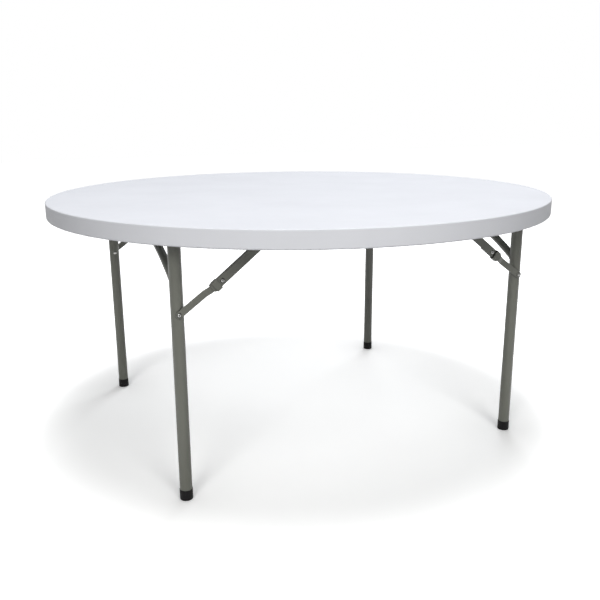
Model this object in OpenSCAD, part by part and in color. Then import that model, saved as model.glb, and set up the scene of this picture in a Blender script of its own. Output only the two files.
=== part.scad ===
// Round folding table: a moulded plastic top on two steel leg frames that fold in under it.
// The origin is on the floor below the middle of the top, with +Z up. The frames fold along X,
// their crossbars run along Y, and -Y is the front.

/* [Table top] */
// Height of the top surface above the floor
table_height = 740; // [680:5:800]
// Diameter of the top at its widest
top_diameter = 1540; // [1380:10:1700]
// Depth of the rim, from the top surface to its lower edge
rim_depth = 46.6; // [40:0.2:56]
// Width of the rim's lower face
rim_width = 34; // [26:1:40]
// How far the rim's outer wall leans in on its way down
rim_draft = 1.5; // [0:0.1:3]
// How far the rim's inner wall leans in on its way up
rim_inner_draft = 2.5; // [0:0.1:5]
// Radius of the upper edge of the top
edge_radius = 9; // [5:0.5:12]
// Radius of the rim's lower edges
lip_radius = 4; // [2:0.5:6]
// Thickness of the panel inside the rim
panel_thickness = 22; // [20:0.5:26]

/* [Moulded pockets] */
// Distance between the pockets in the underside
pocket_pitch = 140; // [120:5:180]
// Diameter of a pocket at its mouth
pocket_mouth = 56; // [40:1:64]
// Diameter of a pocket at its floor
pocket_floor = 36; // [24:1:40]
// Depth of a pocket
pocket_depth = 12; // [6:0.5:15]
// Flat land kept between a pocket and a rail or the rim
pocket_land = 5; // [3:1:12]

/* [Leg frames] */
// Distance of each leg's axis in from the edge of the top
leg_setback = 88.8; // [80:0.2:110]
// Angle of a leg from the folding direction, seen from above
leg_azimuth = 40.24; // [38:0.02:43]
// Outer diameter of a leg tube
leg_diameter = 33; // [30:0.5:36]
// Wall thickness of the steel tubes
tube_wall = 1.2; // [1:0.1:1.6]
// Outer diameter of the crossbar and of the arched brace
bar_diameter = 22; // [20:0.5:22.5]
// Depth of the crossbar's axis below the panel
hinge_drop = 14; // [13.5:0.1:16]
// Distance of the crossbar's axis in from the leg's axis
hinge_inset = 12; // [10:0.5:14]
// Height of the leg tube above the crossbar's axis
leg_rise = 8; // [4:0.5:10]
// Drop of the arched brace from the crossbar's axis to its ends
arch_drop = 148.7; // [120:0.1:180]
// Distance of the arched brace's plane in from the leg's axis
arch_inset = 5; // [4:0.1:6]
// Gap filled by a weld bead
weld_gap = 0.2; // [0.1:0.1:0.4]

/* [Foot caps] */
// Outer diameter of a foot cap at its top edge
cap_diameter = 35; // [34.5:0.1:38]
// Height of a foot cap
cap_height = 29; // [20:1:40]
// Thickness of a foot cap's floor
cap_floor = 3; // [2:0.5:5]
// Radius of a foot cap's lower edge
cap_edge = 2.5; // [1:0.5:3]

/* [Side rails] */
// Thickness of the rail's steel
rail_wall = 1.5; // [1.2:0.1:1.8]
// Width of the rail's channel
rail_width = 24; // [20:0.5:28]
// Depth of the rail's channel
rail_depth = 28; // [24:1:34]
// Length of the rail past each crossbar
rail_overhang = 22; // [20:0.5:26]
// Radius of the rail's ear round a crossbar
ear_radius = 20; // [18:0.5:21]
// Length of the slope at each end of a rail
rail_nose = 12; // [6:1:14]
// Clearance of the crossbar in the rail's walls
bar_clearance = 1; // [0.5:0.1:1.5]
// Length of a pivot block along the rail
block_length = 32; // [28:1:36]
// Thickness of the plug in a crossbar's end
plug_thickness = 2.5; // [2:0.5:4]
// Length of the plug inside the crossbar
plug_length = 12; // [8:1:20]
// Number of screws that hold a rail
screw_count = 6; // [4:2:8]
// Distance from a crossbar to the rail's last screw
screw_margin = 38; // [34:1:60]
// Diameter of a screw's shank
screw_diameter = 4; // [3:0.5:5]
// Diameter of a screw's head
screw_head = 9; // [7:0.5:11]
// Height of a screw's head
screw_head_height = 2.5; // [2:0.5:4]
// Depth of a screw in the panel
screw_depth = 12; // [8:1:16]

/* [Folding braces] */
// Distance from the crossbar's axis down to the leg rivet
brace_drop = 196.6; // [180:0.2:215]
// Distance along the top from the leg's axis to the brace's upper pivot
brace_reach = 252; // [243:1:262]
// How far the middle rivet of a standing brace is bent past straight, in degrees
brace_bend = 2.7; // [0:0.1:3.3]
// Height of the crossbar's axis above the brace's upper pivot
pivot_drop = 7; // [5:0.5:9]
// Width of the upper arm
upper_width = 23.5; // [20:0.5:26]
// Thickness of the upper arm
upper_wall = 2; // [1.5:0.1:2.5]
// Depth of the flange on the upper arm's top edge
flange_depth = 9; // [8:0.5:9.5]
// Length over which that flange grows from nothing
flange_taper = 22; // [10:1:40]
// Length of the upper arm past the middle rivet
upper_tail = 33; // [30:0.5:36]
// Radius of the lower corner at that end
tail_corner = 5; // [2:0.5:6]
// Distance from the middle rivet up to the end of the upper arm's inner plate
plate_reach = 37; // [30:0.5:38]
// Width of the lower arm
lower_width = 18; // [16:0.5:18.5]
// Thickness of the lower arm
lower_wall = 2.5; // [2:0.1:3]
// Distance from the middle rivet to the lower arm's crank
crank_start = 38; // [37:1:50]
// Length of the lower arm's crank
crank_length = 16; // [12:1:24]
// Sideways step of the lower arm's crank
crank_step = 7; // [6.5:0.1:8]
// Gap between plates that lie on one another
plate_gap = 0.3; // [0.2:0.05:0.4]
// Distance from the middle rivet to the lock ring's middle
ring_offset = 18.5; // [17:0.5:20]
// Length of the lock ring along the brace
ring_length = 16; // [14:0.5:18]
// Thickness of the lock ring's band
ring_wall = 1.2; // [1:0.1:1.5]
// Gap between the lock ring and the upper arm
ring_gap = 0.4; // [0.2:0.1:0.6]
// Room below the upper arm inside the lock ring
ring_slack = 1.5; // [1.45:0.05:2.2]
// Corner radius of the lock ring
ring_corner = 2; // [1:0.1:2.5]

/* [Rivets] */
// Diameter of the rivets' shanks
rivet_diameter = 6; // [5:0.5:7]
// Clearance round a turning rivet or crossbar
pin_clearance = 0.05; // [0.02:0.01:0.08]
// Diameter of a rivet's domed head
rivet_head = 13; // [11:0.5:15]
// Height of a rivet's domed head
rivet_head_height = 2.4; // [2:0.1:2.8]
// Diameter of a rivet's formed tail
rivet_tail = 10; // [8:0.5:11]
// Height of a rivet's formed tail
rivet_tail_height = 2; // [1.5:0.1:2.5]
// Diameter of the boss on the rail round the upper pivot
boss_diameter = 15; // [13:0.5:15.5]
// Gap between the lock ring and the rail
rail_gap = 0.6; // [0.4:0.1:1]

/* [Hidden] */
$fn = 64;

white_plastic = [0.91, 0.92, 0.95];
grey_coat = [0.42, 0.42, 0.38];
black_plastic = [0.13, 0.13, 0.13];
bright_steel = [0.78, 0.78, 0.78];

// Table top
top_radius = top_diameter / 2;
panel_bottom = table_height - panel_thickness;
rim_bottom = table_height - rim_depth;
rim_low_radius = top_radius - rim_draft;
rim_inner_low = rim_low_radius - rim_width;
rim_inner_high = rim_inner_low - rim_inner_draft;

// Leg frames
leg_circle = top_radius - leg_setback;
leg_x = leg_circle * cos(leg_azimuth);
leg_y = leg_circle * sin(leg_azimuth);
leg_radius = leg_diameter / 2;
bar_radius = bar_diameter / 2;
hinge_x = leg_x - hinge_inset;
hinge_z = panel_bottom - hinge_drop;
arch_x = leg_x - arch_inset;
arch_peak = hinge_z - sqrt(pow(bar_diameter + weld_gap, 2) - pow(hinge_inset - arch_inset, 2));
arch_rise = arch_peak - hinge_z + arch_drop;
arch_radius = (pow(leg_y, 2) + pow(arch_rise, 2)) / (2 * arch_rise);
arch_angle = asin(leg_y / arch_radius);
arch_centre = arch_peak - arch_radius;

// The layers of a folding brace, counted outwards from the leg
outer_face = leg_y + leg_radius;
strip_low = outer_face + plate_gap;
strip_high = strip_low + crank_step;
web_inner = strip_high + lower_wall + plate_gap;
web_outer = web_inner + upper_wall;
boss_face = web_outer + plate_gap;
ring_outer = web_outer + rivet_head_height + ring_gap + ring_wall;
rail_inner = ring_outer + rail_gap;
rail_outer = rail_inner + rail_width;
rail_middle = (rail_inner + rail_outer) / 2;
flange_tip = web_outer - flange_depth;

// The standing brace is bent past straight by brace_bend, where the lower arm stops under the
// flange of the upper arm. The two arms lie on each other when the leg is folded.
pivot_x = leg_x - brace_reach;
pivot_z = hinge_z - pivot_drop;
rivet_z = hinge_z - brace_drop;
folded_x = hinge_x - brace_drop;
folded_z = hinge_z - hinge_inset;
open_span = norm([leg_x - pivot_x, pivot_z - rivet_z]);
folded_span = norm([folded_x - pivot_x, pivot_z - folded_z]);
arm_product = (pow(open_span, 2) - pow(folded_span, 2)) / (2 * (1 + cos(brace_bend)));
lower_length = (sqrt(pow(folded_span, 2) + 4 * arm_product) - folded_span) / 2;
upper_length = lower_length + folded_span;
span_angle = atan2(pivot_z - rivet_z, brace_reach);
upper_angle = span_angle + asin(lower_length * sin(brace_bend) / open_span);
lower_angle = upper_angle - brace_bend;
middle_x = pivot_x + upper_length * cos(upper_angle);
middle_z = pivot_z - upper_length * sin(upper_angle);

// The upper arm lies a little above its rivets, so that its flange is where the lower arm stops
stop_height = lower_width / 2 / cos(brace_bend) + upper_tail * tan(brace_bend) + plate_gap;
arm_middle = stop_height + upper_wall - upper_width / 2;
ring_bottom = arm_middle - upper_width / 2 - ring_slack - ring_wall;
ring_top = arm_middle + upper_width / 2 + ring_gap + ring_wall;

rivet_radius = rivet_diameter / 2;
hole_radius = rivet_radius + pin_clearance;
bar_length = 2 * (rail_outer + plate_gap);
eps = 1;

// Mirrors a piece of the back right corner to any other corner
module corner(x_side, y_side) {
    mirror([x_side < 0 ? 1 : 0, 0, 0])
    mirror([0, y_side < 0 ? 1 : 0, 0])
    children();
}

// A plate drawn in X and Z, from y to y plus its thickness
module upright(y, thickness) {
    translate([0, y + thickness, 0])
    rotate([90, 0, 0])
    linear_extrude(thickness)
    children();
}

// A round bar along Y
module y_bar(y_from, y_to, radius) {
    translate([0, y_to, 0])
    rotate([90, 0, 0])
    cylinder(r = radius, h = y_to - y_from);
}

// The upper arm's own frame: X runs from its pivot to the middle rivet and Z across the arm
module upper_frame() {
    translate([pivot_x, 0, pivot_z])
    rotate([0, upper_angle, 0])
    children();
}

// The lower arm's own frame: X runs from the middle rivet to the leg rivet and Z across the arm
module lower_frame() {
    translate([middle_x, 0, middle_z])
    rotate([0, lower_angle, 0])
    children();
}

// The outline of an arm with round ends
module arm_outline(from, to, width) {
    translate([from, -width / 2])
    square([to - from, width]);
    translate([from, 0])
    circle(d = width);
    translate([to, 0])
    circle(d = width);
}

module rounded_rect(low, high, radius) {
    translate([low[0] + radius, low[1]])
    square([high[0] - low[0] - 2 * radius, high[1] - low[1]]);
    translate([low[0], low[1] + radius])
    square([high[0] - low[0], high[1] - low[1] - 2 * radius]);
    for (x = [low[0] + radius, high[0] - radius])
        for (y = [low[1] + radius, high[1] - radius])
            translate([x, y])
            circle(r = radius);
}

// A domed head that stands on Z = 0
module dome(diameter, height) {
    edge = height * 0.3;
    ball = (pow(diameter / 2, 2) + pow(height - edge, 2)) / (2 * (height - edge));
    rotate_extrude()
    intersection() {
        square([diameter / 2, height]);
        translate([0, height - ball])
        circle(r = ball);
    }
}

// The half section of the top, with its hollow rim left solid
module top_section() {
    difference() {
        union() {
            polygon([
                [0, rim_bottom],
                [rim_low_radius - lip_radius, rim_bottom],
                [rim_low_radius, rim_bottom + lip_radius],
                [top_radius, table_height - edge_radius],
                [top_radius - edge_radius, table_height],
                [0, table_height]
            ]);
            translate([top_radius - edge_radius, table_height - edge_radius])
            circle(r = edge_radius);
            translate([rim_low_radius - lip_radius, rim_bottom + lip_radius])
            circle(r = lip_radius);
        }
        polygon([
            [-eps, rim_bottom - eps],
            [rim_inner_low, rim_bottom - eps],
            [rim_inner_low, rim_bottom],
            [rim_inner_high, panel_bottom],
            [-eps, panel_bottom]
        ]);
    }
}

// The pockets of the underside, in staggered rows that leave the rails and the rim a flat land
module pockets() {
    row_step = pocket_pitch * sin(60);
    field = rim_inner_high - pocket_mouth / 2 - pocket_land;
    rail_land = (rail_width + pocket_mouth) / 2 + pocket_land;
    rows = floor(field / row_step);
    for (row = [-rows:rows])
        if (abs(abs(row * row_step) - rail_middle) > rail_land) {
            shift = row % 2 == 0 ? 0 : 0.5;
            half = sqrt(pow(field, 2) - pow(row * row_step, 2));
            for (i = [ceil(-half / pocket_pitch - shift):floor(half / pocket_pitch - shift)])
                translate([(i + shift) * pocket_pitch, row * row_step, panel_bottom])
                pocket();
        }
}

module pocket() {
    slope = (pocket_mouth - pocket_floor) / 2 / pocket_depth;
    translate([0, 0, -eps])
    cylinder(r1 = pocket_mouth / 2 + eps * slope, r2 = pocket_floor / 2, h = pocket_depth + eps);
}

function screw_x(i) = (hinge_x - screw_margin) * (2 * i / (screw_count - 1) - 1);

module tabletop() {
    color(white_plastic)
    difference() {
        rotate_extrude($fn = 180)
        top_section();
        pockets();
        for (i = [0:screw_count - 1])
            for (side = [-1, 1])
                translate([screw_x(i), side * rail_middle, panel_bottom - eps])
                cylinder(d = screw_diameter + 2 * pin_clearance, h = screw_depth + eps);
    }
}

// One wall of the rail: a long strip with sloped ends and an ear round each crossbar
module rail_wall_outline() {
    rail_end = hinge_x + rail_overhang;
    intersection() {
        union() {
            polygon([
                [-rail_end, panel_bottom],
                [-rail_end, panel_bottom - rail_nose],
                [-rail_end + rail_nose, panel_bottom - rail_depth],
                [rail_end - rail_nose, panel_bottom - rail_depth],
                [rail_end, panel_bottom - rail_nose],
                [rail_end, panel_bottom]
            ]);
            for (side = [-1, 1])
                translate([side * hinge_x, hinge_z])
                circle(r = ear_radius);
        }
        translate([-rail_end, panel_bottom - 2 * rail_depth])
        square([2 * rail_end, 2 * rail_depth]);
    }
}

module side_rail(y_side) {
    rail_end = hinge_x + rail_overhang;
    color(grey_coat)
    corner(1, y_side)
    difference() {
        union() {
            upright(rail_inner, rail_wall)
            rail_wall_outline();
            upright(rail_outer - rail_wall, rail_wall)
            rail_wall_outline();
            translate([-rail_end, rail_inner, panel_bottom - rail_wall])
            cube([2 * rail_end, rail_width, rail_wall]);
            for (side = [-1, 1])
                translate([side * pivot_x, 0, pivot_z])
                y_bar(boss_face, rail_inner + rail_wall / 2, boss_diameter / 2);
        }
        for (side = [-1, 1]) {
            translate([side * hinge_x, 0, hinge_z])
            y_bar(rail_inner - eps, rail_outer + eps, bar_radius + bar_clearance);
            translate([side * pivot_x, 0, pivot_z])
            y_bar(boss_face - eps, rail_inner + rail_wall + eps, hole_radius);
        }
        for (i = [0:screw_count - 1])
            translate([screw_x(i), rail_middle, panel_bottom - rail_wall - eps])
            cylinder(d = screw_diameter + 2 * pin_clearance, h = rail_wall + 2 * eps);
    }
}

module rail_screws(y_side) {
    color(bright_steel)
    corner(1, y_side)
    for (i = [0:screw_count - 1])
        translate([screw_x(i), rail_middle, panel_bottom - rail_wall])
        union() {
            cylinder(d = screw_diameter, h = rail_wall + screw_depth - plate_gap);
            mirror([0, 0, 1])
            dome(screw_head, screw_head_height);
        }
}

// A bearing block that fills the rail's channel round the crossbar
module pivot_block(x_side, y_side) {
    block_top = hinge_drop - rail_wall;
    color(black_plastic)
    corner(x_side, y_side)
    translate([hinge_x, 0, hinge_z])
    upright(rail_inner + rail_wall, rail_width - 2 * rail_wall)
    difference() {
        union() {
            translate([-block_length / 2, 0])
            square([block_length, block_top]);
            circle(d = block_length);
        }
        circle(r = bar_radius + pin_clearance);
        translate([-block_length, block_top])
        square([2 * block_length, block_length]);
    }
}

module crossbar(x_side) {
    color(grey_coat)
    corner(x_side, 1)
    translate([hinge_x, 0, hinge_z])
    difference() {
        y_bar(-bar_length / 2, bar_length / 2, bar_radius);
        y_bar(-bar_length / 2 - eps, bar_length / 2 + eps, bar_radius - tube_wall);
    }
}

module crossbar_plug(x_side, y_side) {
    color(black_plastic)
    corner(x_side, y_side)
    translate([hinge_x, 0, hinge_z]) {
        y_bar(bar_length / 2, bar_length / 2 + plug_thickness, bar_radius + 2 * bar_clearance);
        y_bar(bar_length / 2 - plug_length, bar_length / 2, bar_radius - tube_wall - pin_clearance);
    }
}

// A leg tube, coped at its top to fit round the crossbar
module leg(x_side, y_side) {
    leg_top = hinge_z + leg_rise;
    color(grey_coat)
    corner(x_side, y_side)
    difference() {
        translate([leg_x, leg_y, cap_floor])
        cylinder(r = leg_radius, h = leg_top - cap_floor);
        translate([leg_x, leg_y, cap_floor - eps])
        cylinder(r = leg_radius - tube_wall, h = leg_top - cap_floor + 2 * eps);
        translate([hinge_x, 0, hinge_z])
        y_bar(leg_y - leg_diameter, leg_y + leg_diameter, bar_radius + weld_gap);
        translate([leg_x, 0, rivet_z])
        y_bar(leg_y - leg_diameter, leg_y + leg_diameter, hole_radius);
    }
}

module foot_cap(x_side, y_side) {
    cap_radius = cap_diameter / 2;
    bore = leg_radius + pin_clearance;
    color(black_plastic)
    corner(x_side, y_side)
    translate([leg_x, leg_y, 0])
    rotate_extrude()
    difference() {
        union() {
            polygon([
                [0, 0],
                [cap_radius - cap_edge, 0],
                [cap_radius, cap_edge],
                [cap_radius, cap_height],
                [0, cap_height]
            ]);
            translate([cap_radius - cap_edge, cap_edge])
            circle(r = cap_edge);
        }
        translate([-eps, cap_floor])
        square([bore + eps, cap_height]);
        translate([-cap_diameter, -eps])
        square([cap_diameter, cap_height + 2 * eps]);
    }
}

// The arched tube between two legs, under the crossbar and cut to fit the legs
module arch_brace(x_side) {
    color(grey_coat)
    corner(x_side, 1)
    difference() {
        translate([arch_x, 0, arch_centre])
        rotate([0, -90, 0])
        rotate([0, 0, -arch_angle])
        rotate_extrude(angle = 2 * arch_angle, $fn = 180)
        translate([arch_radius, 0])
        difference() {
            circle(r = bar_radius);
            circle(r = bar_radius - tube_wall);
        }
        for (side = [-1, 1])
            translate([leg_x, side * leg_y, rivet_z])
            cylinder(r = leg_radius + weld_gap, h = brace_drop);
    }
}

// The upper arm: a flat web with a flange along its upper edge, and an inner plate round the joint
module upper_arm(x_side, y_side) {
    tail = upper_length + upper_tail;
    color(grey_coat)
    corner(x_side, y_side)
    upper_frame()
    difference() {
        translate([0, 0, arm_middle])
        union() {
            upright(web_inner, upper_wall) {
                circle(d = upper_width);
                translate([0, -upper_width / 2])
                square([tail - tail_corner, upper_width]);
                translate([0, tail_corner - upper_width / 2])
                square([tail, upper_width - tail_corner]);
                translate([tail - tail_corner, tail_corner - upper_width / 2])
                circle(r = tail_corner);
            }
            translate([0, 0, upper_width / 2 - upper_wall])
            linear_extrude(upper_wall)
            polygon([
                [0, web_inner + eps / 2],
                [0, web_inner],
                [flange_taper, flange_tip],
                [tail, flange_tip],
                [tail, web_inner + eps / 2]
            ]);
            translate([0, 0, -upper_width / 2])
            linear_extrude(upper_width - upper_wall / 2)
            polygon([
                [upper_length - plate_reach, flange_tip],
                [upper_length - plate_reach, flange_tip + upper_wall],
                [tail - tail_corner, flange_tip + upper_wall],
                [tail - tail_corner, flange_tip]
            ]);
        }
        for (x = [0, upper_length])
            translate([x, 0, 0])
            y_bar(flange_tip - eps, web_outer + eps, hole_radius);
    }
}

// The lower arm: a flat strip, cranked so that it meets the leg and the upper arm flat
module lower_arm(x_side, y_side) {
    first = crank_start;
    last = first + crank_length;
    miter = lower_wall * tan(atan2(crank_step, crank_length) / 2);
    start = -lower_width;
    end = lower_length + lower_width;
    color(grey_coat)
    corner(x_side, y_side)
    lower_frame()
    difference() {
        intersection() {
            upright(strip_low - eps, crank_step + lower_wall + 2 * eps)
            arm_outline(0, lower_length, lower_width);
            translate([0, 0, -lower_width])
            linear_extrude(2 * lower_width)
            polygon([
                [start, strip_high],
                [first, strip_high],
                [last, strip_low],
                [end, strip_low],
                [end, strip_low + lower_wall],
                [last + miter, strip_low + lower_wall],
                [first + miter, strip_high + lower_wall],
                [start, strip_high + lower_wall]
            ]);
        }
        for (x = [0, lower_length])
            translate([x, 0, 0])
            y_bar(strip_low - eps, web_inner + eps, hole_radius);
    }
}

// The band that slides over both arms and keeps the brace from folding
module lock_ring(x_side, y_side) {
    band_low = [flange_tip - ring_gap - ring_wall, ring_bottom];
    band_high = [ring_outer, ring_top];
    wall = [ring_wall, ring_wall];
    color(grey_coat)
    corner(x_side, y_side)
    upper_frame()
    translate([upper_length + ring_offset - ring_length / 2, 0, 0])
    rotate([90, 0, 90])
    linear_extrude(ring_length)
    difference() {
        rounded_rect(band_low, band_high, ring_corner);
        rounded_rect(band_low + wall, band_high - wall, ring_corner / 2);
    }
}

// The upper pivot: a rivet held by the rail, on which the upper arm turns
module pivot_rivet(x_side, y_side) {
    color(bright_steel)
    corner(x_side, y_side)
    translate([pivot_x, 0, pivot_z]) {
        y_bar(web_inner - plate_gap, rail_inner + rail_wall, rivet_radius);
        y_bar(web_inner - plate_gap - rivet_tail_height, web_inner - plate_gap, rivet_tail / 2);
        y_bar(rail_inner + rail_wall, rail_inner + rail_wall + rivet_tail_height, rivet_tail / 2);
    }
}

// The middle rivet: held by both plates of the upper arm, with the lower arm turning on it
module middle_rivet(x_side, y_side) {
    color(bright_steel)
    corner(x_side, y_side)
    upper_frame()
    translate([upper_length, 0, 0]) {
        y_bar(flange_tip, web_outer, rivet_radius);
        y_bar(flange_tip + upper_wall, strip_high - plate_gap, rivet_tail / 2);
        translate([0, web_outer, 0])
        rotate([-90, 0, 0])
        dome(rivet_head, rivet_head_height);
    }
}

// The leg rivet's shank and tail, which stay with the leg
module leg_rivet(x_side, y_side) {
    inner_face = leg_y - leg_radius;
    color(bright_steel)
    corner(x_side, y_side)
    translate([leg_x, 0, rivet_z]) {
        y_bar(inner_face, outer_face, rivet_radius);
        translate([0, inner_face, 0])
        rotate([90, 0, 0])
        dome(rivet_tail, rivet_tail_height);
    }
}

// The leg rivet's head, which stays with the lower arm
module rivet_head_piece(x_side, y_side) {
    color(bright_steel)
    corner(x_side, y_side)
    translate([leg_x, 0, rivet_z]) {
        y_bar(strip_low, strip_low + lower_wall, rivet_radius);
        translate([0, strip_low + lower_wall, 0])
        rotate([-90, 0, 0])
        dome(rivet_head, rivet_head_height);
    }
}

tabletop();
side_rail(-1);  // side_rail_front
side_rail(1);  // side_rail_back
rail_screws(-1);  // rail_screws_front
rail_screws(1);  // rail_screws_back
pivot_block(-1, -1);  // pivot_block_front_left
pivot_block(-1, 1);  // pivot_block_back_left
pivot_block(1, -1);  // pivot_block_front_right
pivot_block(1, 1);  // pivot_block_back_right
crossbar(-1);  // crossbar_left
crossbar(1);  // crossbar_right
crossbar_plug(-1, -1);  // crossbar_plug_front_left
crossbar_plug(-1, 1);  // crossbar_plug_back_left
crossbar_plug(1, -1);  // crossbar_plug_front_right
crossbar_plug(1, 1);  // crossbar_plug_back_right
leg(-1, -1);  // leg_front_left
leg(-1, 1);  // leg_back_left
leg(1, -1);  // leg_front_right
leg(1, 1);  // leg_back_right
foot_cap(-1, -1);  // foot_cap_front_left
foot_cap(-1, 1);  // foot_cap_back_left
foot_cap(1, -1);  // foot_cap_front_right
foot_cap(1, 1);  // foot_cap_back_right
arch_brace(-1);  // arch_brace_left
arch_brace(1);  // arch_brace_right
upper_arm(-1, -1);  // upper_arm_front_left
upper_arm(-1, 1);  // upper_arm_back_left
upper_arm(1, -1);  // upper_arm_front_right
upper_arm(1, 1);  // upper_arm_back_right
lower_arm(-1, -1);  // lower_arm_front_left
lower_arm(-1, 1);  // lower_arm_back_left
lower_arm(1, -1);  // lower_arm_front_right
lower_arm(1, 1);  // lower_arm_back_right
lock_ring(-1, -1);  // lock_ring_front_left
lock_ring(-1, 1);  // lock_ring_back_left
lock_ring(1, -1);  // lock_ring_front_right
lock_ring(1, 1);  // lock_ring_back_right
pivot_rivet(-1, -1);  // pivot_rivet_front_left
pivot_rivet(-1, 1);  // pivot_rivet_back_left
pivot_rivet(1, -1);  // pivot_rivet_front_right
pivot_rivet(1, 1);  // pivot_rivet_back_right
middle_rivet(-1, -1);  // middle_rivet_front_left
middle_rivet(-1, 1);  // middle_rivet_back_left
middle_rivet(1, -1);  // middle_rivet_front_right
middle_rivet(1, 1);  // middle_rivet_back_right
leg_rivet(-1, -1);  // leg_rivet_front_left
leg_rivet(-1, 1);  // leg_rivet_back_left
leg_rivet(1, -1);  // leg_rivet_front_right
leg_rivet(1, 1);  // leg_rivet_back_right
rivet_head_piece(-1, -1);  // rivet_head_front_left
rivet_head_piece(-1, 1);  // rivet_head_back_left
rivet_head_piece(1, -1);  // rivet_head_front_right
rivet_head_piece(1, 1);  // rivet_head_back_right
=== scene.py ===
import math

import bmesh
import bpy
from mathutils import Matrix, Vector


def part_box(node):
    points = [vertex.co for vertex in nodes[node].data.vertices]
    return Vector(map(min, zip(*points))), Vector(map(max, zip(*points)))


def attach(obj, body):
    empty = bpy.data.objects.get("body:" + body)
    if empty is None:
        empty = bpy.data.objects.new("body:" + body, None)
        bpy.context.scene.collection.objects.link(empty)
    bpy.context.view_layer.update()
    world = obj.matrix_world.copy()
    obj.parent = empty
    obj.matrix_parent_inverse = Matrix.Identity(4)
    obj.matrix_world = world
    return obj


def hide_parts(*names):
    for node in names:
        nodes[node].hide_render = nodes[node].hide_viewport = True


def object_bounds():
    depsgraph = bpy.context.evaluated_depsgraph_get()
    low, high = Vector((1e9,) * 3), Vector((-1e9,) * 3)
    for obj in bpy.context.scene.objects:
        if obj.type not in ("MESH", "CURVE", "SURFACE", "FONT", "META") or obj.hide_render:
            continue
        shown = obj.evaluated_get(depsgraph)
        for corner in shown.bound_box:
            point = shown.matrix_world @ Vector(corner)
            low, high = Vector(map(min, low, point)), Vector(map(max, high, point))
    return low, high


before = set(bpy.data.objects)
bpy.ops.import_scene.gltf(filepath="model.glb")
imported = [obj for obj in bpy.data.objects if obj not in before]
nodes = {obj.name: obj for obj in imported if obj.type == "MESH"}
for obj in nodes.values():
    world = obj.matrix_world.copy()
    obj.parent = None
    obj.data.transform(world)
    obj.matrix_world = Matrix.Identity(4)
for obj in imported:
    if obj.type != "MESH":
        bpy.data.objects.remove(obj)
cad_low, cad_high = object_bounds()
scene = bpy.context.scene
scene.view_settings.view_transform = "Standard"

# Lengths and places are in metres and angles in radians. The lens and the sensor are in millimetres, and
# arc() takes degrees

# The camera, solved from the photograph: it is turned from +Y towards +X and pitched down
CAMERA_PLACE = (-0.9293, -2.1037, 0.9879)
CAMERA_TURN = 0.4037
CAMERA_PITCH = 0.2583
CAMERA_ROLL = -0.0094
CAMERA_LENS = 42.751
CAMERA_SENSOR = 36.0
CAMERA_SHIFT = (0.01753, -0.0011)
CAMERA_CLIP = (0.05, 60.0)


def make_camera():
    data = bpy.data.cameras.new("camera")
    data.sensor_fit = "HORIZONTAL"
    data.sensor_width = CAMERA_SENSOR
    data.lens = CAMERA_LENS
    data.shift_x, data.shift_y = CAMERA_SHIFT
    data.clip_start, data.clip_end = CAMERA_CLIP
    level = math.cos(CAMERA_PITCH)
    forward = Vector((math.sin(CAMERA_TURN) * level, math.cos(CAMERA_TURN) * level, -math.sin(CAMERA_PITCH)))
    right = Vector((math.cos(CAMERA_TURN), -math.sin(CAMERA_TURN), 0.0))
    up = right.cross(forward)
    rolled_right = right * math.cos(CAMERA_ROLL) + up * math.sin(CAMERA_ROLL)
    rolled_up = up * math.cos(CAMERA_ROLL) - right * math.sin(CAMERA_ROLL)
    matrix = Matrix((rolled_right, rolled_up, -forward)).transposed().to_4x4()
    matrix.translation = CAMERA_PLACE
    obj = bpy.data.objects.new("camera", data)
    obj.matrix_world = matrix
    scene.collection.objects.link(obj)
    scene.camera = obj


make_camera()


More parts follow.
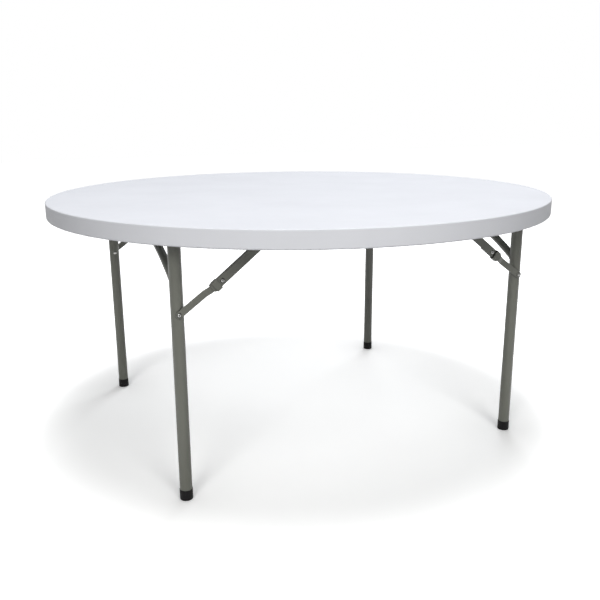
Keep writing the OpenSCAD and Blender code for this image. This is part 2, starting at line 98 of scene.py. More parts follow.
# The nodes of a material or a world. An input takes a plain value, or the output of another node
class Nodes:
    def __init__(self, owner, output="ShaderNodeOutputMaterial"):
        owner.use_nodes = True
        self.owner = owner
        self.tree = owner.node_tree
        self.tree.nodes.clear()
        self.output = self.tree.nodes.new(output)

    def put(self, node, inputs):
        for key, value in inputs.items():
            if isinstance(value, bpy.types.NodeSocket):
                self.tree.links.new(value, node.inputs[key])
            else:
                node.inputs[key].default_value = value

    def add(self, kind, inputs, **settings):
        node = self.tree.nodes.new(kind)
        for key, value in settings.items():
            setattr(node, key, value)
        self.put(node, inputs)
        return node

    def coords(self):
        return self.add("ShaderNodeTexCoord", {}).outputs["Object"]

    def stretched(self, at, scale):
        return self.add("ShaderNodeMapping", {"Vector": at, "Scale": scale}).outputs["Vector"]

    def noise(self, at, scale, detail=2.0, roughness=0.5):
        inputs = {"Vector": at, "Scale": scale, "Detail": detail, "Roughness": roughness}
        return self.add("ShaderNodeTexNoise", inputs).outputs["Fac"]

    def cells(self, at, scale, smooth=0.5):
        inputs = {"Vector": at, "Scale": scale, "Smoothness": smooth}
        return self.add("ShaderNodeTexVoronoi", inputs, feature="SMOOTH_F1").outputs["Distance"]

    def ramp(self, value, span, to=(0.0, 1.0), kind="LINEAR"):
        inputs = {"Value": value, "From Min": span[0], "From Max": span[1], "To Min": to[0], "To Max": to[1]}
        return self.add("ShaderNodeMapRange", inputs, interpolation_type=kind).outputs["Result"]

    def math(self, operation, a, b=0.0):
        return self.add("ShaderNodeMath", {0: a, 1: b}, operation=operation).outputs["Value"]

    def mix_values(self, share, a, b):
        return self.add("ShaderNodeMix", {0: share, 2: a, 3: b}, data_type="FLOAT").outputs[0]

    def mix_colours(self, share, a, b):
        return self.add("ShaderNodeMix", {0: share, 6: a, 7: b}, data_type="RGBA").outputs[2]

    def mix_shaders(self, share, a, b):
        return self.add("ShaderNodeMixShader", {0: share, 1: a, 2: b}).outputs[0]

    def bump(self, height, distance, strength, over=None):
        inputs = {"Height": height, "Distance": distance, "Strength": strength}
        if over is not None:
            inputs["Normal"] = over
        return self.add("ShaderNodeBump", inputs).outputs["Normal"]

    # How open a point is to what lies within a distance: 1 in the open, and less in a gap
    def openness(self, distance, samples):
        node = self.add("ShaderNodeAmbientOcclusion", {"Distance": distance}, samples=samples)
        return node.outputs["AO"]

    # 1 where the eye sees a surface, straight or by way of metal or glass, and 0 for the light on the object
    def seen(self):
        path = self.add("ShaderNodeLightPath", {})
        straight = self.math("MAXIMUM", path.outputs["Is Camera Ray"], path.outputs["Is Glossy Ray"])
        return self.math("MAXIMUM", straight, path.outputs["Is Transmission Ray"])

    def principled(self, colour, roughness, normal, **more):
        inputs = {"Base Color": colour, "Roughness": roughness, "Normal": normal}
        inputs.update((key.replace("_", " "), value) for key, value in more.items())
        return self.finish(self.add("ShaderNodeBsdfPrincipled", inputs).outputs[0])

    def finish(self, shader):
        self.put(self.output, {"Surface": shader})
        return self.owner


# A colour as the eye sees it, from 0 to 255, turned into the linear one that a shader takes
def linear(r, g, b):
    def one(c):
        c /= 255.0
        return c / 12.92 if c <= 0.04045 else ((c + 0.055) / 1.055) ** 2.4

    return (one(r), one(g), one(b), 1.0)


def shade(colour, share):
    return tuple(c * share for c in colour[:3]) + (1.0,)


PLASTIC_IOR = 1.5
GREY_GREEN = linear(99, 100, 91)
COAT_SHADE_REACH = 0.007
COAT_EDGE = 0.0005
SHEET_EDGE = 0.0016


# White moulded plastic: fine pebbled skin, faint cloudy colour and gentle waves, with little shine
def white_plastic():
    n = Nodes(bpy.data.materials.new("white_plastic"))
    at = n.coords()
    cloud = n.ramp(n.noise(at, scale=5.0, detail=3.0, roughness=0.55), span=(0.3, 0.7))
    colour = n.mix_colours(cloud, linear(232, 233, 237), linear(236, 237, 241))
    rough = n.ramp(n.noise(at, scale=60.0, detail=3.0), span=(0.3, 0.7), to=(0.44, 0.54))
    pebbles = n.math("MULTIPLY", n.cells(at, scale=620.0, smooth=0.6), 0.8)
    grain = n.math("ADD", pebbles, n.math("MULTIPLY", n.noise(at, scale=1700.0), 0.35))
    waves = n.bump(n.noise(at, scale=9.0), distance=0.0006, strength=0.4)
    skin = n.bump(grain, distance=0.00012, strength=0.6, over=waves)
    return n.principled(colour, rough, skin, IOR=PLASTIC_IOR, Specular_IOR_Level=0.06)


# Grey-green powder coat: orange-peel skin with a fine fleck, rounded edges, and painted shade in narrow gaps
def powder_coat(name, edge):
    n = Nodes(bpy.data.materials.new(name))
    at = n.coords()
    fleck = n.math("MULTIPLY", n.noise(at, scale=900.0, roughness=0.6), 0.6)
    drift = n.math("MULTIPLY", n.noise(at, scale=14.0, detail=3.0), 0.4)
    low, high = shade(GREY_GREEN, 0.93), shade(GREY_GREEN, 1.05)
    colour = n.mix_colours(n.ramp(n.math("ADD", fleck, drift), span=(0.35, 0.65)), low, high)
    # Painted shade: in narrow gaps, between parts and round the rivets, the colour falls to a third of its
    # low tone
    unshaded_share = n.ramp(n.openness(COAT_SHADE_REACH, samples=8), span=(0.4, 0.96))
    colour = n.mix_colours(unshaded_share, shade(low, 0.35), colour)
    rough = n.ramp(n.noise(at, scale=130.0), span=(0.3, 0.7), to=(0.32, 0.44))
    rounded = n.add("ShaderNodeBevel", {"Radius": edge}, samples=6).outputs["Normal"]
    skin = n.bump(n.noise(at, scale=420.0, roughness=0.45), distance=0.00025, strength=0.5, over=rounded)
    return n.principled(colour, rough, skin, IOR=PLASTIC_IOR)


# Black moulded plastic: matt and finely textured
def black_plastic():
    n = Nodes(bpy.data.materials.new("black_plastic"))
    at = n.coords()
    cloud = n.ramp(n.noise(at, scale=300.0), span=(0.35, 0.65))
    colour = n.mix_colours(cloud, linear(17, 16, 16), linear(24, 22, 23))
    rough = n.ramp(n.noise(at, scale=90.0, detail=3.0), span=(0.3, 0.7), to=(0.42, 0.58))
    skin = n.bump(n.cells(at, scale=1100.0), distance=0.00012, strength=0.5)
    return n.principled(colour, rough, skin, IOR=PLASTIC_IOR, Specular_IOR_Level=0.15)


# Plated steel of the rivets and screws: fine turning marks and slight stains
def plated_steel(name, low, high, rough):
    n = Nodes(bpy.data.materials.new(name))
    at = n.coords()
    stain = n.ramp(n.noise(at, scale=220.0, detail=3.0), span=(0.35, 0.65))
    colour = n.mix_colours(stain, low, high)
    marks = n.noise(n.stretched(at, (1.0, 6.0, 1.0)), scale=700.0, detail=3.0, roughness=0.6)
    worn = n.ramp(marks, span=(0.3, 0.7), to=(rough - 0.06, rough + 0.06))
    skin = n.bump(marks, distance=0.00004, strength=0.3)
    return n.principled(colour, worn, skin, Metallic=1.0)


white = white_plastic()
coat = powder_coat("grey_coat", COAT_EDGE)
sheet_coat = powder_coat("grey_coat_sheet", SHEET_EDGE)
black = black_plastic()
steel = plated_steel("bright_steel", linear(140, 140, 138), linear(172, 172, 170), 0.24)
# Lit and shaded copies of the steel for the rivet heads: a polished one that is a painted highlight, and a
# darker one that is a painted dark reflection
highlight_steel = plated_steel("polished_steel_painted_highlight", linear(150, 150, 149), linear(172, 172, 171), 0.2)
dark_reflection_steel = plated_steel("steel_painted_dark_reflection", linear(64, 64, 61), linear(78, 78, 75), 0.38)

# The finish of the nodes whose names start so. All others have the powder coat
FINISH = {
    "tabletop": white,
    "upper_arm": sheet_coat,
    "lower_arm": sheet_coat,
    "lock_ring": sheet_coat,
    "side_rail": sheet_coat,
    "rail_screws": steel,
    "pivot_rivet": steel,
    "middle_rivet": steel,
    "leg_rivet": steel,
    "rivet_head": steel,
    "foot_cap": black,
    "crossbar_plug": black,
    "pivot_block": black,
}


def finish_of(name):
    for start, material in FINISH.items():
        if name.startswith(start):
            return material
    return coat


def dress_nodes():
    for name, obj in nodes.items():
        if not obj.material_slots:
            obj.data.materials.append(None)
        for item in obj.material_slots:
            item.link = "OBJECT"
            item.material = finish_of(name)


dress_nodes()


# Each corner's tag, its leg frame, and the signs of its X and Y
def corners():
    for side_x, sign_x in (("left", -1), ("right", 1)):
        for side_y, sign_y in (("front", -1), ("back", 1)):
            yield side_y + "_" + side_x, side_x, sign_x, sign_y


# Makes an object of a mesh, which rides on a body. Edges sharper than the angle stay crisp
def piece(name, bm, materials, body, crisp):
    bmesh.ops.remove_doubles(bm, verts=bm.verts, dist=1e-7)
    bmesh.ops.recalc_face_normals(bm, faces=bm.faces)
    for face in bm.faces:
        face.smooth = True
    mesh = bpy.data.meshes.new(name)
    bm.to_mesh(mesh)
    bm.free()
    mesh.set_sharp_from_angle(angle=crisp)
    for material in materials:
        mesh.materials.append(material)
    obj = bpy.data.objects.new(name, mesh)
    scene.collection.objects.link(obj)
    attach(obj, body)
    return obj


def ring(bm, centre, side, other, radius, steps):
    turns = (2 * math.pi * i / steps for i in range(steps))
    return [bm.verts.new(centre + (side * math.cos(a) + other * math.sin(a)) * radius) for a in turns]


# Joins two rings, or a ring and a single point, by a band of faces
def join(bm, a, b):
    band = []
    steps = max(len(a), len(b))
    for i in range(steps):
        j = (i + 1) % steps
        if len(a) == 1:
            band.append(bm.faces.new((a[0], b[i], b[j])))
        elif len(b) == 1:
            band.append(bm.faces.new((a[i], b[0], a[j])))
        else:
            band.append(bm.faces.new((a[i], b[i], b[j], a[j])))
    return band


# Turns a profile round an axis, from a start point along a unit vector. A profile point is a radius and a
# height, and may add the number of its band's material and its share of a sideways drift
def lathe(bm, profile, start, axis, steps, drift=Vector((0.0, 0.0, 0.0))):
    start, axis = Vector(start), Vector(axis)
    side = axis.orthogonal().normalized()
    other = axis.cross(side)
    rings = []
    tones = []
    for point in profile:
        radius, height, tone, share = (*point, 0, 0.0)[:4]
        centre = start + axis * height + drift * share
        rings.append(ring(bm, centre, side, other, radius, steps) if radius > 0 else [bm.verts.new(centre)])
        tones.append(tone)
    for a, b, tone in zip(rings, rings[1:], tones):
        for face in join(bm, a, b):
            face.material_index = tone
    return rings


# A round bead along points, with its own radius at each
def bead(bm, points, radii, steps=10):
    rings = []
    side = None
    for i, (point, radius) in enumerate(zip(points, radii)):
        along = (points[min(i + 1, len(points) - 1)] - points[max(i - 1, 0)]).normalized()
        side = along.orthogonal() if side is None else side - along * side.dot(along)
        side.normalize()
        rings.append(ring(bm, point, side, along.cross(side), radius, steps))
    for a, b in zip(rings, rings[1:]):
        join(bm, a, b)
    bm.faces.new(rings[0])
    bm.faces.new(rings[-1][::-1])


# An arc about a centre, with its start and end in degrees
def arc(centre_x, centre_z, radius, start, end, steps):
    turns = (math.radians(start + (end - start) * i / steps) for i in range(steps + 1))
    return [(centre_x + radius * math.cos(a), centre_z + radius * math.sin(a)) for a in turns]


# Rivets: turned heads on the plain shanks, seen from outside the braces
RIVET_STEPS = 48
SHANK_RADIUS = 0.003
SHANK_CHAMFER = 0.0004
COLLAR_RADIUS = 0.005
COLLAR_SPAN = (0.002, 0.0039)
HEAD_HEIGHT = 0.0024
HOLLOW_DRIFT = Vector((0.0004, 0.0, 0.0005))
PAINTED_DARK_REFLECTION, PAINTED_HIGHLIGHT = 1, 2
# A head in shares of its radius and height, with its tone and drift: a domed flange in a darker copy of the
# steel, which is a painted dark reflection, a rolled rim in a polished copy, which is a painted highlight,
# and a punched hollow, which lies a little off centre
HEAD = (
    (1.00, 0.00, PAINTED_DARK_REFLECTION, 0.0),
    (1.00, 0.18, PAINTED_DARK_REFLECTION, 0.0),
    (0.97, 0.30, PAINTED_DARK_REFLECTION, 0.0),
    (0.90, 0.45, PAINTED_DARK_REFLECTION, 0.0),
    (0.80, 0.60, PAINTED_DARK_REFLECTION, 0.0),
    (0.70, 0.72, PAINTED_DARK_REFLECTION, 0.0),
    (0.60, 0.84, PAINTED_HIGHLIGHT, 0.0),
    (0.55, 0.94, PAINTED_HIGHLIGHT, 0.2),
    (0.49, 1.00, PAINTED_HIGHLIGHT, 0.5),
    (0.43, 0.97, PAINTED_HIGHLIGHT, 0.8),
    (0.37, 0.86, PAINTED_HIGHLIGHT, 1.0),
    (0.32, 0.66, PAINTED_HIGHLIGHT, 1.0),
    (0.28, 0.44, PAINTED_DARK_REFLECTION, 1.0),
    (0.20, 0.38, PAINTED_DARK_REFLECTION, 1.0),
    (0.00, 0.36, PAINTED_DARK_REFLECTION, 1.0),
)


def rivet_profile(radius, depth, collared):
    profile = [(0.0, 0.0), (SHANK_RADIUS - SHANK_CHAMFER, 0.0), (SHANK_RADIUS, SHANK_CHAMFER)]
    if collared:
        first, last = COLLAR_SPAN
        profile += [(SHANK_RADIUS, first), (COLLAR_RADIUS, first)]
        profile += [(COLLAR_RADIUS, last), (SHANK_RADIUS, last)]
    base = depth - HEAD_HEIGHT
    profile += [(SHANK_RADIUS, base)]
    profile += [(x * radius, base + z * HEAD_HEIGHT, tone, share) for x, z, tone, share in HEAD]
    return profile


# The middle rivet has a collar, which keeps the upper arm's inner plate off the lower arm
def rivets():
    kinds = (("middle_rivet_", "upper_arm_", True), ("rivet_head_", "lower_arm_", False))
    for tag, _, _, sign_y in corners():
        for node, body, collared in kinds:
            low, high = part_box(node + tag)
            start = ((low[0] + high[0]) / 2, sign_y * min(abs(low[1]), abs(high[1])), (low[2] + high[2]) / 2)
            profile = rivet_profile((high[0] - low[0]) / 2, high[1] - low[1], collared)
            bm = bmesh.new()
            lathe(bm, profile, start, (0, sign_y, 0), RIVET_STEPS, HOLLOW_DRIFT)
            tones = (steel, dark_reflection_steel, highlight_steel)
            obj = piece(node + tag + "_turned", bm, tones, body + tag, crisp=0.6)
            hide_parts(node + tag)


rivets()

# The top: one moulding with a plumb wall and soft edges, a hollow rim, and pockets in the panel
TOP_RADIUS = 0.77
TOP_STEPS = 384
EDGE_ROUND = 0.003
LIP_ROUND = 0.004
INNER_LIP_ROUND = 0.002
CEILING_ROUND = 0.004
# The rim's inner wall leans in on its way up: its foot, two rings of it, and its corner with the panel
INNER_FOOT = 0.7345
INNER_WALL = ((0.7333, 0.705), (0.7324, 0.7135))
PANEL_CORNER = 0.7325
# Rings that keep flat stretches flat beside their rounds, and their faces short
SURFACE_RINGS = (0.0, 0.25, 0.5, 0.7, 0.765)
WALL_RING = 0.72
LIP_RINGS = (0.757, 0.742)
CEILING_RING = 0.726
RING_GAP = 0.001
# Pockets with rounded lips and floors. Each row lies half a pitch aside from the next, and a land is
# kept between the pockets and the rails or the edge of the panel
POCKET_PITCH = 0.14
POCKET_MOUTH = 0.028
POCKET_DEPTH = 0.012
POCKET_LAND = 0.005
POCKET_STEPS = 40
PANEL_EDGE = 0.732
RAIL_HALF_WIDTH = 0.012
POCKET_WALL = (
    (0.0315, 0.0),
    (0.0300, 0.0),
    (0.0288, 0.0003),
    (0.0279, 0.0010),
    (0.0271, 0.0020),
    (0.0199, 0.0101),
    (0.0190, 0.0110),
    (0.0178, 0.0117),
    (0.0162, POCKET_DEPTH),
    (0.0140, POCKET_DEPTH),
    (0.0, POCKET_DEPTH),
)
# Bores for the rails' screws
SCREW_COUNT = 6
BORE_RADIUS = 0.00205
BORE_DEPTH = 0.012
BORE_STEPS = 12


# The section from the middle of the surface, round the rim, to the panel inside it
def top_profile(top, bottom, panel):
    profile = [(radius, top) for radius in SURFACE_RINGS]
    profile += arc(TOP_RADIUS - EDGE_ROUND, top - EDGE_ROUND, EDGE_ROUND, 90, 0, 10)
    heights = (top - EDGE_ROUND - RING_GAP, WALL_RING, bottom + LIP_ROUND + RING_GAP)
    profile += [(TOP_RADIUS, height) for height in heights]
    profile += arc(TOP_RADIUS - LIP_ROUND, bottom + LIP_ROUND, LIP_ROUND, 0, -90, 8)
    profile += [(radius, bottom) for radius in LIP_RINGS]
    profile += arc(INNER_FOOT + INNER_LIP_ROUND, bottom + INNER_LIP_ROUND, INNER_LIP_ROUND, -90, -180, 6)
    profile += INNER_WALL
    profile += arc(PANEL_CORNER - CEILING_ROUND, panel - CEILING_ROUND, CEILING_ROUND, 0, 90, 6)
    profile += [(CEILING_RING, panel)]
    return profile


def pocket_centres():
    low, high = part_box("side_rail_back")
    rail = (low[1] + high[1]) / 2
    rail_land = RAIL_HALF_WIDTH + POCKET_MOUTH + POCKET_LAND
    field = PANEL_EDGE - POCKET_MOUTH - POCKET_LAND
    row_step = POCKET_PITCH * math.sin(math.radians(60))
    rows = math.floor(field / row_step)
    for row in range(-rows, rows + 1):
        y = row * row_step
        if abs(abs(y) - rail) < rail_land:
            continue
        shift = 0.5 * (row % 2)
        half = math.sqrt(field**2 - y**2) / POCKET_PITCH
        for i in range(math.ceil(-half - shift), math.floor(half - shift) + 1):
            yield (i + shift) * POCKET_PITCH, y


def screw_centres(side_y):
    low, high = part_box("rail_screws_" + side_y)
    radius = (high[1] - low[1]) / 2
    for i in range(SCREW_COUNT):
        x = low[0] + radius + (high[0] - low[0] - 2 * radius) * i / (SCREW_COUNT - 1)
        yield x, (low[1] + high[1]) / 2


# Fills the panel between the rim, the pockets and the bores, which are loops of points in it
def fill_panel(bm, loops):
    edges = [bm.edges.get(pair) for loop in loops for pair in zip(loop, loop[1:] + loop[:1])]
    bmesh.ops.triangle_fill(bm, edges=edges, use_beauty=True, use_dissolve=False, normal=(0, 0, -1))


def table_top():
    up = (0, 0, 1)
    low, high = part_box("tabletop")
    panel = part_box("side_rail_back")[1][2]
    bm = bmesh.new()
    loops = [lathe(bm, top_profile(high[2], low[2], panel), (0, 0, 0), up, TOP_STEPS)[-1]]
    for x, y in pocket_centres():
        loops.append(lathe(bm, POCKET_WALL, (x, y, panel), up, POCKET_STEPS)[0])
    bore = ((BORE_RADIUS, 0.0), (BORE_RADIUS, BORE_DEPTH), (0.0, BORE_DEPTH))
    for side_y in ("front", "back"):
        for x, y in screw_centres(side_y):
            loops.append(lathe(bm, bore, (x, y, panel), up, BORE_STEPS)[0])
    fill_panel(bm, loops)
    obj = piece("tabletop_moulded", bm, (white,), "top", crisp=0.7)
    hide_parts("tabletop")


table_top()

# Pan-head screws with a cross recess, whose threaded shanks stand up through the rails into the panel
SCREW_STEPS = 24
DOME_STEPS = 8
SCREW_HEAD = 0.0025
SCREW_DOME = 0.75 * SCREW_HEAD
SCREW_NECK = (0.0021, 0.001)
SCREW_POINT = 0.0025
THREAD_ROOT = 0.0014
THREAD_CREST = 0.002
THREAD_PITCH = 0.0014
THREAD_RISE = (0.0005, 0.0009, 0.0011)
THREAD_END = 0.003
CROSS_WIDTH = 0.0006
CROSS_REACH = 0.0023
CROSS_DEPTH = 0.0015
CROSS_TAPER = 0.45
CROSS_CLEARANCE = 0.001


def screw_profile(radius, length):
    turns = (math.pi / 2 * k / DOME_STEPS for k in range(DOME_STEPS + 1))
    profile = [(radius * math.sin(a), SCREW_DOME * (1 - math.cos(a))) for a in turns]
    neck_radius, neck_length = SCREW_NECK
    z = SCREW_HEAD + neck_length
    profile += [(radius, SCREW_HEAD), (neck_radius, SCREW_HEAD), (neck_radius, z)]
    while z + THREAD_PITCH < length - THREAD_END:
        valley, first, last = (z + rise for rise in THREAD_RISE)
        profile += [(THREAD_ROOT, valley), (THREAD_CREST, first), (THREAD_CREST, last)]
        z += THREAD_PITCH
    profile += [(THREAD_ROOT, length - SCREW_POINT), (0.0, length)]
    return profile


# A cross-shaped tool that narrows upwards, to cut the recess
def cross_tool(bm, x, y, z):
    outline = []
    for i in range(4):
        c, s = math.cos(math.pi / 2 * i), math.sin(math.pi / 2 * i)
        for a, b in ((CROSS_WIDTH, -CROSS_WIDTH), (CROSS_REACH, -CROSS_WIDTH), (CROSS_REACH, CROSS_WIDTH)):
            outline.append((c * a - s * b, s * a + c * b))
    mouth = [bm.verts.new((x + a, y + b, z - CROSS_CLEARANCE)) for a, b in outline]
    floor = [bm.verts.new((x + CROSS_TAPER * a, y + CROSS_TAPER * b, z + CROSS_DEPTH)) for a, b in outline]
    bm.faces.new(mouth)
    bm.faces.new(floor[::-1])
    join(bm, mouth, floor)


def link_mesh(name, bm):
    bmesh.ops.recalc_face_normals(bm, faces=bm.faces)
    mesh = bpy.data.meshes.new(name)
    bm.to_mesh(mesh)
    bm.free()
    obj = bpy.data.objects.new(name, mesh)
    scene.collection.objects.link(obj)
    return obj


# The first mesh less the second
def difference(body, tool):
    obj = link_mesh("cut_body", body)
    tool_obj = link_mesh("cut_tool", tool)
    cut = obj.modifiers.new("cut", "BOOLEAN")
    cut.operation = "DIFFERENCE"
    cut.solver = "EXACT"
    cut.object = tool_obj
    done = bmesh.new()
    done.from_object(obj, bpy.context.evaluated_depsgraph_get())
    bpy.data.objects.remove(obj)
    bpy.data.objects.remove(tool_obj)
    return done


def screws():
    for side_y in ("front", "back"):
        node = "rail_screws_" + side_y
        low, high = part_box(node)
        profile = screw_profile((high[1] - low[1]) / 2, high[2] - low[2])
        body, tool = bmesh.new(), bmesh.new()
        for x, y in screw_centres(side_y):
            lathe(body, profile, (x, y, low[2]), (0, 0, 1), SCREW_STEPS)
            cross_tool(tool, x, y, low[2])
        obj = piece(node + "_cross", difference(body, tool), (steel,), "top", crisp=0.5)
        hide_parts(node)


screws()

# Rippled weld beads where the tubes of a leg frame meet
WELD_STEP = 0.0004
RIPPLE_PITCH = 0.0016
RIPPLE_SHARE = 0.13
WELD_CRISP = 1.2
# A leg's top: the bead's radius, its ends' drop below the leg's open top, and the steps of its stretches
LEG_WELD_RADIUS = 0.0014
LEG_WELD_DROP = 0.001
LEG_LOWER_STEPS = 60
LEG_UPPER_STEPS = 12
# An arch's ends: their drop below the crossbar's axis, and the gap between the bead's middle and the leg
ARCH_DROP = 0.1487
ARCH_WELD_RADIUS = 0.0015
ARCH_WELD_GAP = 0.0002
ARCH_STEPS = 96
ARCH_HALVINGS = 40
# An arch's crown: two beads beside the line where it touches the crossbar
CROWN_WELD_RADIUS = 0.0021
CROWN_WELD_LENGTH = 0.06
CROWN_WELD_OUT = 0.0003
CROWN_WELD_ASIDE = 0.0042
CROWN_STEPS = 100


# Points at most a step apart along a path
def spread(path):
    points = [Vector(p) for p in path]
    out = [points[0]]
    for a, b in zip(points, points[1:]):
        count = max(1, round((b - a).length / WELD_STEP))
        out += [a.lerp(b, k / count) for k in range(1, count + 1)]
    return out


# A bead's radius at each of its points, with the ripples that a welder's hand leaves
def ripple(points, radius):
    radii = []
    run = 0.0
    for last, point in zip(points[:1] + points, points):
        run += (point - last).length
        radii.append(radius * (1.0 + RIPPLE_SHARE * math.sin(2 * math.pi * run / RIPPLE_PITCH)))
    return radii


def weld(bm, path, radius):
    points = spread(path)
    bead(bm, points, ripple(points, radius))


# A leg's X and Y, both taken as positive, the height of its open top, and its radius
def leg_tube(tag):
    low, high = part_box("leg_" + tag)
    return abs(low[0] + high[0]) / 2, abs(low[1] + high[1]) / 2, high[2], (high[0] - low[0]) / 2


# A crossbar's X, taken as positive, its height and its radius
def crossbar_tube(side_x):
    low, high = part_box("crossbar_" + side_x)
    return abs(low[0] + high[0]) / 2, (low[2] + high[2]) / 2, (high[2] - low[2]) / 2


# An arch's X, taken as positive, the height of its crown, and its radius
def arch_tube(side_x):
    low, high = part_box("arch_brace_" + side_x)
    radius = (high[0] - low[0]) / 2
    return abs(low[0] + high[0]) / 2, high[2] - radius, radius


# Round the cope where a leg meets the crossbar, from one side of the leg's open top to the other
def leg_seam(tag, side_x):
    leg_x, leg_y, leg_top, leg_r = leg_tube(tag)
    bar_x, bar_z, bar_r = crossbar_tube(side_x)

    def seam(x, up, outward):
        z = bar_z + up * math.sqrt(max(0.0, bar_r**2 - (x - bar_x) ** 2))
        y = leg_y + outward * math.sqrt(max(0.0, leg_r**2 - (x - leg_x) ** 2))
        return x, y, z

    inner, outer = leg_x - leg_r, bar_x + bar_r
    end = bar_x + math.sqrt(bar_r**2 - (leg_top - bar_z - LEG_WELD_DROP) ** 2)
    turns = [math.pi * k / LEG_LOWER_STEPS for k in range(LEG_LOWER_STEPS + 1)]
    lower = [inner + (outer - inner) * (1 - math.cos(a)) / 2 for a in turns]
    upper = [outer + (end - outer) * k / LEG_UPPER_STEPS for k in range(1, LEG_UPPER_STEPS + 1)]
    path = [seam(x, 1, -1) for x in upper[::-1]] + [seam(x, -1, -1) for x in lower[::-1]]
    path += [seam(x, -1, 1) for x in lower[1:]] + [seam(x, 1, 1) for x in upper]
    return path


# Round the arch's coped end. Each of its points is where a line along the arch meets the leg, found by
# halving the stretch between a point that is clear of the leg and one that isn't
def arch_seam(tag, side_x):
    leg_x, leg_y, _, leg_r = leg_tube(tag)
    _, bar_z, _ = crossbar_tube(side_x)
    arch_x, peak, arch_r = arch_tube(side_x)
    rise = peak - (bar_z - ARCH_DROP)
    bend = (leg_y**2 + rise**2) / (2 * rise)

    def on_arch(turn, a):
        r = bend + arch_r * math.cos(a)
        return Vector((arch_x + arch_r * math.sin(a), r * math.sin(turn), peak - bend + r * math.cos(turn)))

    path = []
    for k in range(ARCH_STEPS + 1):
        a = 2 * math.pi * k / ARCH_STEPS
        clear, inside = 0.0, math.asin(leg_y / bend)
        for _ in range(ARCH_HALVINGS):
            middle = (clear + inside) / 2
            point = on_arch(middle, a)
            if math.hypot(point.x - leg_x, point.y - leg_y) > leg_r + ARCH_WELD_GAP:
                clear = middle
            else:
                inside = middle
        path.append(on_arch(clear, a))
    return path


# Along the crossbar under the arch's crown, on one side of the line where they touch
def crown_seam(side_x, sign):
    bar_x, bar_z, bar_r = crossbar_tube(side_x)
    arch_x, peak, _ = arch_tube(side_x)
    between = Vector((arch_x - bar_x, 0.0, peak - bar_z)).normalized()
    across = Vector((-between.z, 0.0, between.x))
    middle = Vector((bar_x, 0.0, bar_z)) + between * (bar_r + CROWN_WELD_OUT)
    middle += across * sign * CROWN_WELD_ASIDE
    along = (CROWN_WELD_LENGTH * (k / CROWN_STEPS - 0.5) for k in range(CROWN_STEPS + 1))
    return [(middle.x, y, middle.z) for y in along]


def welds():
    for tag, side_x, sign_x, sign_y in corners():
        bm = bmesh.new()
        seams = ((leg_seam(tag, side_x), LEG_WELD_RADIUS), (arch_seam(tag, side_x), ARCH_WELD_RADIUS))
        for path, radius in seams:
            weld(bm, [(sign_x * x, sign_y * y, z) for x, y, z in path], radius)
        piece("weld_" + tag, bm, (coat,), "leg_frame_" + side_x, WELD_CRISP)
    for side_x, sign_x in (("left", -1), ("right", 1)):
        bm = bmesh.new()
        for sign in (-1, 1):
            weld(bm, [(sign_x * x, y, z) for x, y, z in crown_seam(side_x, sign)], CROWN_WELD_RADIUS)
        piece("weld_arch_" + side_x, bm, (coat,), "leg_frame_" + side_x, WELD_CRISP)


welds()

# How bright the floor glows to the eye, where 1 is white. Under and around the table it is painted shade and
# light, which stand for the table's soft shadow on the floor. It has a level under the middle of the table,
# which changes with each metre along X and Y and with the square of the distance outward. A patch has a
# place, a reach and what it adds at its middle, and the fade to white has a place, a radius and a width
GLOW_MIDDLE = 0.395
GLOW_ALONG_X = -0.1361
GLOW_ALONG_Y = 0.0613
GLOW_OUTWARD = -0.1495
GLOW_PATCHES = (((0.723, 0.838), 1.4, 0.4503), ((-0.9, -0.052), 0.94, -0.1707))
GLOW_FADE = ((0.0061, 0.0519), 0.6913, 0.4043)
WHITE = (1.0, 1.0, 1.0, 1.0)
FLOOR_HALF_SIZE = 14.0
FLOOR_DROP = 0.0004
FLOOR_SEEN = (0.92, 0.92, 0.905, 1.0)
FLOOR_NEAR = (0.85, 0.85, 0.84, 1.0)
FLOOR_FAR = (0.2, 0.2, 0.2, 1.0)
FLOOR_CHANGE = (0.95, 1.25)
CONTACT_REACH = 0.16
CONTACT_POWER = 1.4


def distance(n, x, y, centre):
    dx = n.math("SUBTRACT", x, centre[0])
    dy = n.math("SUBTRACT", y, centre[1])
    return n.math("SQRT", n.math("ADD", n.math("MULTIPLY", dx, dx), n.math("MULTIPLY", dy, dy)))


def glow_level(n, x, y):
    middle = distance(n, x, y, (0.0, 0.0))
    level = n.math("ADD", n.math("MULTIPLY", x, GLOW_ALONG_X), GLOW_MIDDLE)
    level = n.math("ADD", level, n.math("MULTIPLY", y, GLOW_ALONG_Y))
    level = n.math("ADD", level, n.math("MULTIPLY", n.math("MULTIPLY", middle, middle), GLOW_OUTWARD))
    for place, reach, amount in GLOW_PATCHES:
        patch = n.ramp(distance(n, x, y, place), span=(0.0, reach), to=(amount, 0.0), kind="SMOOTHSTEP")
        level = n.math("ADD", level, patch)
    place, radius, width = GLOW_FADE
    away = n.ramp(distance(n, x, y, place), span=(radius, radius + width), kind="SMOOTHSTEP")
    return n.mix_values(away, level, 1.0)


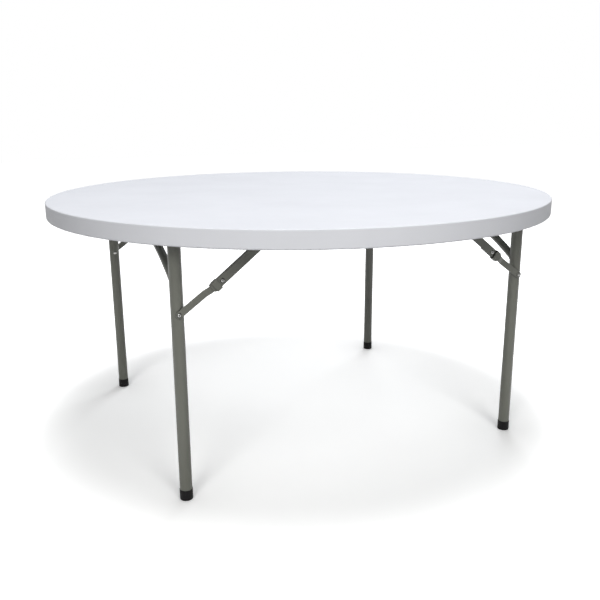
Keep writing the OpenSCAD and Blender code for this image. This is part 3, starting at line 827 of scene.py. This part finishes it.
# To the light, the floor is plain, pale near the table and darker far off. To the eye it glows white, apart
# from the painted soft shade near the table and the painted contact shadow at the feet. From below it is
# open, so that the underside of the table is in view
def floor_material():
    n = Nodes(bpy.data.materials.new("floor"))
    place = n.add("ShaderNodeSeparateXYZ", {0: n.coords()})
    x, y = place.outputs[0], place.outputs[1]
    # Painted contact shadow: the glow dims where the legs and feet stand close
    contact_shadow_share = n.math("POWER", n.openness(CONTACT_REACH, samples=12), CONTACT_POWER)
    strength = n.math("MULTIPLY", glow_level(n, x, y), contact_shadow_share)
    glow = n.add("ShaderNodeEmission", {"Color": WHITE, "Strength": strength}).outputs[0]
    lit = n.add("ShaderNodeBsdfDiffuse", {"Color": FLOOR_SEEN}).outputs[0]
    to_eye = n.add("ShaderNodeAddShader", {0: lit, 1: glow}).outputs[0]
    outside = n.ramp(distance(n, x, y, (0.0, 0.0)), span=FLOOR_CHANGE, kind="SMOOTHSTEP")
    bounce = n.mix_colours(outside, FLOOR_NEAR, FLOOR_FAR)
    to_light = n.add("ShaderNodeBsdfDiffuse", {"Color": bounce}).outputs[0]
    upper = n.mix_shaders(n.seen(), to_light, to_eye)
    lower = n.add("ShaderNodeBsdfTransparent", {}).outputs[0]
    underneath = n.add("ShaderNodeNewGeometry", {}).outputs["Backfacing"]
    return n.finish(n.mix_shaders(underneath, upper, lower))


def make_floor():
    s = FLOOR_HALF_SIZE
    mesh = bpy.data.meshes.new("floor")
    mesh.from_pydata([(-s, -s, 0), (s, -s, 0), (s, s, 0), (-s, s, 0)], [], [(0, 1, 2, 3)])
    mesh.materials.append(floor_material())
    obj = bpy.data.objects.new("floor", mesh)
    obj.location = (0.0, 0.0, cad_low[2] - FLOOR_DROP)
    scene.collection.objects.link(obj)


make_floor()

# The world is white to the eye and gives only a little light
WORLD_LIGHT = (0.97, 0.98, 1.0, 1.0)
WORLD_STRENGTH = 0.02


def make_world():
    world = bpy.data.worlds.new("studio")
    scene.world = world
    n = Nodes(world, "ShaderNodeOutputWorld")
    faint = n.add("ShaderNodeBackground", {"Color": WORLD_LIGHT, "Strength": WORLD_STRENGTH}).outputs[0]
    backdrop = n.add("ShaderNodeBackground", {"Color": WHITE, "Strength": 1.0}).outputs[0]
    n.finish(n.mix_shaders(n.seen(), faint, backdrop))


make_world()


def softbox(name, place, aim, size, power, colour=(1.0, 1.0, 1.0), mirrored=True):
    data = bpy.data.lights.new(name, "AREA")
    data.shape = "DISK"
    data.size = size
    data.energy = power
    data.color = colour
    obj = bpy.data.objects.new(name, data)
    obj.location = place
    obj.rotation_euler = (Vector(aim) - Vector(place)).to_track_quat("-Z", "Y").to_euler()
    obj.visible_camera = False
    obj.visible_glossy = mirrored
    scene.collection.objects.link(obj)


# Soft lamps, aimed at the table. The one behind isn't mirrored, because it would wash out the top
MIDDLE = (0.0, 0.0, 0.5)
SURFACE = (0.0, 0.0, 0.7)
COOL = (0.925, 0.95, 1.0)
PALE = (0.94, 0.965, 1.0)
softbox("light_top", (0.2, 0.1, 5.0), SURFACE, size=1.2, power=86.0, colour=COOL)
softbox("light_left", (-2.98, -3.55, 2.86), MIDDLE, size=1.8, power=97.0)
softbox("light_front", (-0.16, -4.63, 2.86), MIDDLE, size=1.8, power=42.0)
softbox("light_high", (-0.13, -3.74, 4.11), MIDDLE, size=1.8, power=50.0)
softbox("light_back", (2.96, 3.52, 2.6), MIDDLE, size=2.6, power=110.0, colour=PALE, mirrored=False)
